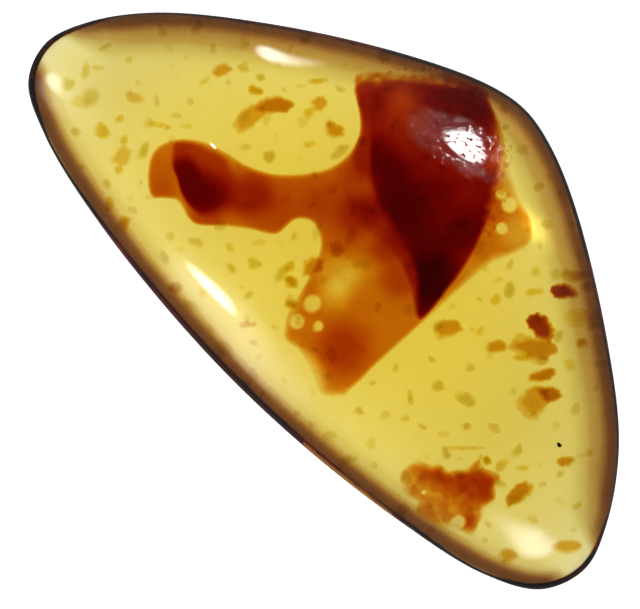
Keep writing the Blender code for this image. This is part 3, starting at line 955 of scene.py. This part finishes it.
def resin(name, density, color):
    """Resin of another colour sealed in the amber, which hardly bends the light that enters it."""
    made, tree, shader = new_material(name)
    grain = noise(tree, scale=900, detail=5, roughness=0.6)
    tint = ramp(tree, grain, (0.35, (0.90, 0.84, 0.76)), (0.6, WHITE))
    tree.links.new(tint, shader.inputs["Base Color"])
    shader.inputs["Roughness"].default_value = 0.0
    shader.inputs["IOR"].default_value = SEALED_IOR
    shader.inputs["Transmission Weight"].default_value = 1.0
    absorbing(tree, density, color)
    return made


def black_grain():
    """Dull black, with a brown cast."""
    made, tree, shader = new_material("black_grain")
    spots = noise(tree, scale=4000)
    shade = ramp(tree, spots, (0.3, (0.006, 0.005, 0.003)), (0.7, (0.03, 0.022, 0.012)))
    tree.links.new(shade, shader.inputs["Base Color"])
    tree.links.new(span(tree, noise(tree, scale=5000), 0.5, 0.9), shader.inputs["Roughness"])
    return made


# --- stage ---

VIEW_CENTRE = (0.125, -4.665)  # the point under the camera
VIEW_HEIGHT = 99.2  # from the rim's level to the camera
VIEW_TURN = 45.0  # degrees from +X to the picture's right
# The light table's rings are copies of the stone's outline: how many there are up to its own size, and
# the scales of the larger ones.
TABLE_RINGS = 36
TABLE_SCALES = (1.06, 1.15, 1.3, 1.5, 1.8, 2.2, 2.8, 3.6, 4.6, 6.0, 9.0, 14.0, 24.0, 40.0)
TABLE_BELOW = 0.03  # how far it is below the stone
GLOW = 0.91  # how strongly it glows near the stone
GLOW_FAR = 0.5  # and far from it
POOL = (34.0, 100.0)  # how far from the stone's middle the glow starts to fade, and has faded
ENDS_DIM = 0.16  # how much darker it is under the stone's two ends
ENDS_MIDDLE = -3.0  # X of the place midway between those
ENDS_FADE = (6.0, 16.0)  # how far from there it starts to be darker, and is darkest
# A brighter streak of the sheet, near the stone's bulge: x, y, half its length and width.
STREAK = (5.2, 6.1, 1.0, 0.38)
STREAK_TURN = -10.0  # degrees from +X
STREAK_GLOW = 1.0  # how much more it glows
MIRRORED = 0.08  # how much of the sheet the stone's polish mirrors
WORLD_COLOR = (0.92, 0.90, 0.88)
WORLD_LOW = 0.8  # how bright the room is level with the stone
WORLD_HIGH = 0.06  # and above it
WORLD_HEIGHTS = (0.35, 0.8)  # the Z of the directions where it starts to be dimmer, and is dimmest
WORLD_MIRRORED = 0.2  # how much of it the polish mirrors
LAMP_DISTANCE = 260.0
LAMP_EDGE, LAMP_CORE = 0.5, 0.15  # how far from a lamp's middle it is dark, and is as bright as there
# The lamps, each by the oval glint that the camera sees on the stone: x, y, length, width, degrees turned
# from +X, and how bright it is.
LAMPS = {
    "light_top": (-10.75, 3.44, 3.0, 0.95, 33, 16.0),
    "light_left_tip": (-18.9, -6.4, 1.6, 0.8, -5, 7.0),
    "light_left_tip_wide": (-18.7, -6.8, 3.4, 2.2, -15, 1.2),
    "light_right_tip_wide": (17.9, -5.9, 5.0, 2.6, 15, 7.5),
    "light_long_side": (-4.45, -8.1, 4.4, 1.0, -4, 16.0),
    "light_long_side_wide": (-2.5, -8.9, 14.0, 3.6, -4, 3.4),
    "light_bulge": (-0.3, 7.2, 2.9, 1.3, 7, 75.0),
    "light_spark": (-9.8, -2.6, 0.5, 0.25, 20, 40.0),
}


def camera():
    """A long lens that looks straight down."""
    data = bpy.data.cameras.new("camera")
    data.lens = 100.0
    data.sensor_width = 36.0
    data.clip_start = 5 * MM
    made = add_object("camera", data)
    made.location = Vector((*VIEW_CENTRE, RIM + VIEW_HEIGHT)) * MM
    made.rotation_euler = (0, 0, math.radians(VIEW_TURN))
    bpy.context.scene.camera = made


def light_table():
    """A pale sheet lit from below: points, faces and how much it glows at each point."""
    outline = stone_outline(8)
    count = len(outline)
    scales = [*np.linspace(0, 1, TABLE_RINGS + 1)[1:], *TABLE_SCALES]
    places = np.concatenate([np.zeros((1, 2)), *(scale * outline for scale in scales)])
    verts = np.column_stack([places, np.full(len(places), CAD_LOW.z / MM - TABLE_BELOW)])
    faces = cap_faces(1, 0, count, 1)
    for ring in range(1, len(places) - count, count):
        faces += ring_faces(ring, ring + count, count, 1)
    ends = fade(abs(places[:, 0] - ENDS_MIDDLE), *ENDS_FADE) * inside(outline, places)
    far = fade(np.linalg.norm(places, axis=1), *POOL)
    glow = GLOW * (1 - ENDS_DIM * ends) + (GLOW_FAR - GLOW) * far
    return verts, faces, glow + STREAK_GLOW * oval_share(places, STREAK, STREAK_TURN)


def pale_floor():
    """Matt and nearly white, with a glow of its own: the stone's polish mirrors little of it."""
    made, tree, shader = new_material("pale_floor")
    clouds = noise(tree, scale=60, detail=3)
    shade = ramp(tree, clouds, (0.3, (0.80, 0.80, 0.80)), (0.7, (0.84, 0.84, 0.84)))
    mirrored = dim_mirrored(tree, MIRRORED)
    tree.links.new(combined(tree, shade, mirrored), shader.inputs["Base Color"])
    glow = combined(tree, carried(tree, "glow"), mirrored)
    tree.links.new(glow, shader.inputs["Emission Strength"])
    shader.inputs["Roughness"].default_value = 0.8
    shader.inputs["Specular IOR Level"].default_value = 0.2
    return made


def floor():
    """The light table, as an object of the stage."""
    verts, faces, glows = light_table()
    made = add_mesh("floor", verts, faces, pale_floor())
    attribute(made, "glow", glows)


def mirrored_ray(x, y):
    """A point on the stone's front, and the direction that the camera sees mirrored there."""
    step = 0.01
    slopes = [(room_at(x + a, y + b, 1) - room_at(x - a, y - b, 1)) / (2 * step)
              for a, b in ((step, 0), (0, step))]
    here = np.array([x, y, RIM + room_at(x, y, 1)])
    normal = np.array([-slopes[0], -slopes[1], 1])
    normal /= np.linalg.norm(normal)
    view = (*VIEW_CENTRE, RIM + VIEW_HEIGHT) - here
    view /= np.linalg.norm(view)
    return here, 2 * normal.dot(view) * normal - view


def glint(name, x, y, length, width, turn, radiance):
    """A soft oval lamp whose reflection at (x, y) is an oval too, turned by some degrees from +X."""
    here, away = mirrored_ray(x, y)
    lamp = here + LAMP_DISTANCE * away
    step = 0.05
    moves = [(point + LAMP_DISTANCE * ray - lamp) / step
             for point, ray in (mirrored_ray(x + step, y), mirrored_ray(x, y + step))]
    across = np.cross(away, (0.0, 0.0, 1.0))
    across /= np.linalg.norm(across)
    plane = np.stack([across, np.cross(away, across)])
    oval = turned(turn).T * (length, width)
    axes, sizes, _ = np.linalg.svd(plane @ np.stack(moves, axis=1) @ oval)
    side = axes[:, 0] @ plane
    aim = Matrix((side, np.cross(away, side), away)).transposed().to_4x4()
    data = bpy.data.lights.new(name, "AREA")
    data.shape = "RECTANGLE"
    data.size, data.size_y = (size * MM for size in sizes)
    data.energy = radiance * math.pi * data.size * data.size_y
    fade_edges(data)
    made = add_object(name, data)
    made.matrix_world = Matrix.Translation(lamp * MM) @ aim
    made.visible_transmission = False


def fade_edges(data):
    """The lamp is brightest in its middle and fades out to its oval edge."""
    data.use_nodes = True
    tree = data.node_tree
    place = tree.nodes.new("ShaderNodeNewGeometry")
    away = tree.nodes.new("ShaderNodeVectorMath")
    away.operation = "DISTANCE"
    away.inputs[1].default_value = (0.5, 0.5, 0.0)
    tree.links.new(place.outputs["Parametric"], away.inputs[0])
    light = span(tree, away.outputs["Value"], 0.0, 1.0, (LAMP_EDGE, LAMP_CORE), how="SMOOTHSTEP")
    tree.links.new(light, tree.nodes["Emission"].inputs["Strength"])


def world():
    """The room: bright low down and dim above."""
    made = bpy.data.worlds.new("studio")
    made.use_nodes = True
    tree = made.node_tree
    background = tree.nodes["Background"]
    background.inputs["Color"].default_value = (*WORLD_COLOR, 1.0)
    towards = tree.nodes.new("ShaderNodeTexCoord")
    height = tree.nodes.new("ShaderNodeSeparateXYZ")
    tree.links.new(towards.outputs["Generated"], height.inputs[0])
    strength = span(tree, height.outputs["Z"], WORLD_LOW, WORLD_HIGH, WORLD_HEIGHTS)
    seen = combined(tree, strength, dim_mirrored(tree, WORLD_MIRRORED))
    tree.links.new(seen, background.inputs["Strength"])
    bpy.context.scene.world = made


def light_settings():
    """Light gets through the stone's many layers, and the picture keeps its colours."""
    scene = bpy.context.scene
    scene.view_settings.view_transform = "Standard"
    scene.cycles.max_bounces = 32
    scene.cycles.transmission_bounces = 32


def sheet_piece(node, made, look, slot):
    """A sheet of resin that takes the place of a CAD solid."""
    add_piece(node + "_fine", *made, resin(look, *ORANGE), replaces=(node,), slot=slot)


def resin_sheets():
    """The flow, the dark mass and the crumb patch, which lie on the seam."""
    flow = node_loop("resin_flow", FLOW_OUTLINE, 8)
    made = sheet_mesh(flow, SHEET_PITCH, flow_thickness, -1, SEAM_BELOW)
    sheet_piece("resin_flow", made, "orange_resin", slot="orange_resin")
    mass = node_loop("dark_mass", MASS_OUTLINE, 8)
    made = sheet_mesh(mass, SHEET_PITCH, mass_thickness, 1, SEAM_ABOVE)
    sheet_piece("dark_mass", made, "red_resin", slot="dark_resin")
    patch = ragged(node_loop("crumb_patch", CRUMB_OUTLINE, 24), np.random.default_rng(6))
    made = sheet_mesh(patch, PATCH_PITCH, patch_thickness, 1, SEAM_ABOVE)
    sheet_piece("crumb_patch", made, "crumb_resin", slot="crumbs")


def scattered_pieces():
    """The flakes, the crumbs along the dark mass and the speck."""
    nodes = sorted(name for name in frame["nodes"] if name.startswith("flake_"))
    look = resin("flake_resin", *FLAKE)
    add_piece("flakes_large", *cad_flakes(nodes, seed=4), look, replaces=nodes, slot="flakes")
    look = resin("ochre_resin", *OCHRE)
    add_piece("flakes_small", *small_flakes(SMALL_FLAKES, seed=11), look, slot="flakes")
    faint = small_flakes(faint_flakes(FAINT_FLAKES, seed=7), seed=8)
    add_piece("flakes_faint", *faint, resin("faint_resin", *FAINT), slot="flakes")
    look = resin("loose_resin", *ORANGE)
    add_piece("mass_crumbs", *edge_crumbs(CRUMB_STRETCHES, seed=9), look, slot="orange_resin")
    add_piece("black_speck", *speck(), black_grain())


def main():
    """The whole scene: the camera and the lights, then the stone."""
    camera()
    floor()
    world()
    light_settings()
    for name, oval in LAMPS.items():
        glint(name, *oval)
    clear_stone(clear_amber())
    resin_sheets()
    scattered_pieces()


main()
